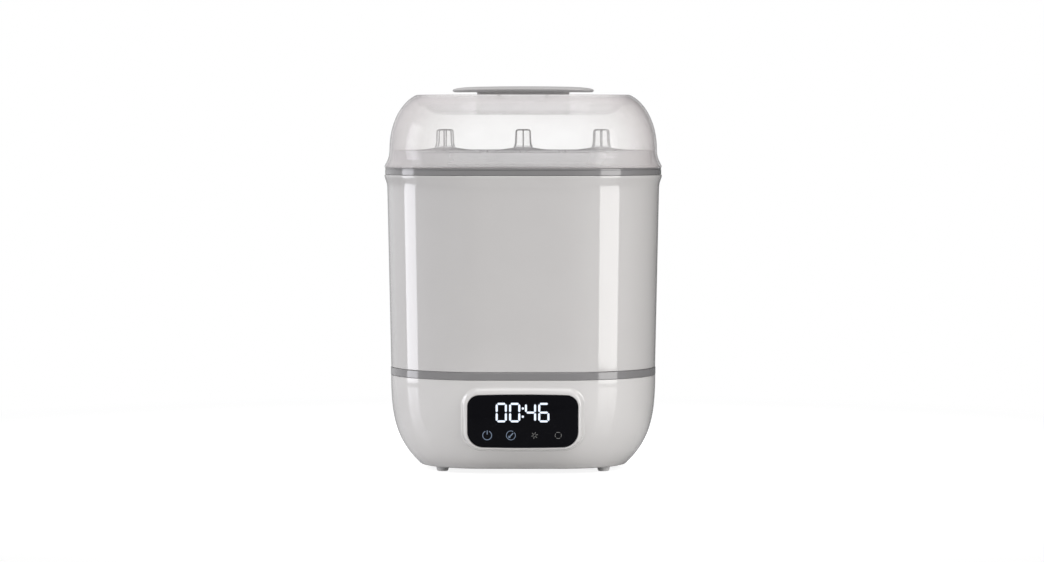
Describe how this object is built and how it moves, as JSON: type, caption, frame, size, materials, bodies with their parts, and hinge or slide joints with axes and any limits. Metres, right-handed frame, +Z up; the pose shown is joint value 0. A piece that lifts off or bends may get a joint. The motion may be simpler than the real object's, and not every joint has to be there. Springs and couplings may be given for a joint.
{
  "type": "bottle sterilizer",
  "caption": "Countertop electric steam sterilizer and dryer for feeding bottles, with a touch display base, lift-off chamber, racks and a translucent lid.",
  "frame": {"origin": "centre of the footprint, on the plane the feet stand on", "axes": "+Z up, front with the display faces -Y, +X to the right seen from the front"},
  "size_m": [0.277, 0.201, 0.382],
  "materials": {
    "off_white": "gloss",
    "grey_trim": "satin",
    "frosted_clear": "translucent satin",
    "display_black": "high gloss",
    "foot_rubber": "matte",
    "silicone": "satin",
    "steel": "brushed",
    "dark_plastic": "matte",
    "board": "satin",
    "copper": "satin",
    "foam": "open cell foam"
  },
  "bodies": {
    "base": {"air_duct": "dark_plastic", "air_heater": "dark_plastic", "air_outlet_cap": "off_white", "base_housing": "off_white", "base_screw_front_left": "steel", "base_screw_front_right": "steel", "base_screw_rear_left": "steel", "base_screw_rear_right": "steel", "blower_housing": "dark_plastic", "blower_motor": "steel", "bottom_plate": "grey_trim", "display_bezel": "off_white", "display_board": "board", "display_cable": "dark_plastic", "display_lens": "display_black", "filter_capacitor": "dark_plastic", "filter_frame": "off_white", "foot_front_left": "foot_rubber", "foot_front_right": "foot_rubber", "foot_rear_left": "foot_rubber", "foot_rear_right": "foot_rubber", "heater_element": "steel", "inlet_pin_left": "copper", "inlet_pin_right": "copper", "led_display": "dark_plastic", "lower_trim_ring": "grey_trim", "mains_lead": "dark_plastic", "pan_seal": "silicone", "power_board": "board", "power_inlet": "dark_plastic", "power_relay": "dark_plastic", "power_transformer": "copper", "thermal_fuse": "steel", "thermostat": "dark_plastic", "top_deck": "off_white", "touch_spring_1": "copper", "touch_spring_2": "copper", "touch_spring_3": "copper", "touch_spring_4": "copper", "water_pan": "steel"},
    "impeller": {"impeller": "dark_plastic", "blower_shaft": "steel"},
    "filter_pad": {"filter_pad": "foam"},
    "filter_cover": {"filter_cover": "off_white"},
    "chamber": {"chamber_shell": "off_white", "upper_trim_ring": "grey_trim"},
    "rack": {"bottle_rack": "frosted_clear"},
    "tray": {"accessory_tray": "frosted_clear"},
    "lid": {"lid_shell": "frosted_clear", "lid_handle": "grey_trim", "handle_screw_left": "steel", "handle_screw_right": "steel"}
  },
  "joints": [
    {"name": "impeller_spin", "type": "hinge", "parent": "base", "child": "impeller", "pos_m": [0.064, 0, 0.035], "axis": [0, 1, 0], "continuous": true},
    {"name": "filter_pad_slide", "type": "slide", "parent": "base", "child": "filter_pad", "axis": [0, 1, 0], "range_m": [0, 0.03]},
    {"name": "filter_cover_slide", "type": "slide", "parent": "filter_pad", "child": "filter_cover", "axis": [0, 1, 0], "range_m": [0, 0.03]},
    {"name": "chamber_lift", "type": "slide", "parent": "base", "child": "chamber", "axis": [0, 0, 1], "range_m": [0, 0.06]},
    {"name": "rack_lift", "type": "slide", "parent": "chamber", "child": "rack", "axis": [0, 0, 1], "range_m": [0, 0.21]},
    {"name": "tray_lift", "type": "slide", "parent": "rack", "child": "tray", "axis": [0, 0, 1], "range_m": [0, 0.1]},
    {"name": "lid_lift", "type": "slide", "parent": "tray", "child": "lid", "axis": [0, 0, 1], "range_m": [0, 0.12]}
  ]
}
